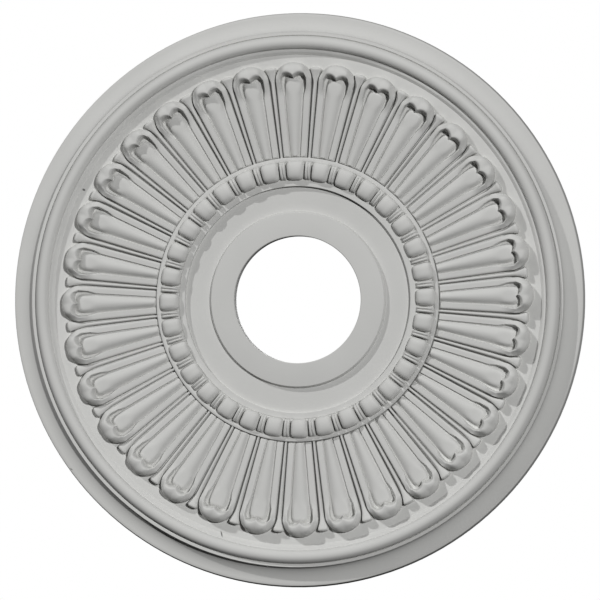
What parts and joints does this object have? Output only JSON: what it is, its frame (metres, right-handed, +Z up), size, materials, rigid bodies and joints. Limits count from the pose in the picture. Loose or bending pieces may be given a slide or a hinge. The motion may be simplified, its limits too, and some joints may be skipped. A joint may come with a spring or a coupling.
{
  "type": "ceiling rose",
  "caption": "Round moulded ceiling rose with a stepped rim, a ring of fluted leaves and darts, a bead-and-reel ring and a hole in the centre.",
  "frame": {"origin": "centre of the round back, on the ceiling plane", "axes": "+Z up into the ceiling, square to the flat back; the carved face looks down along -Z; one leaf lies along +X and one along +Y"},
  "size_m": [0.416, 0.416, 0.02],
  "materials": {
    "primed_casting": "moulded, factory primed in matt white"
  },
  "bodies": {
    "root": {"ceiling_rose": "primed_casting"}
  },
  "joints": []
}
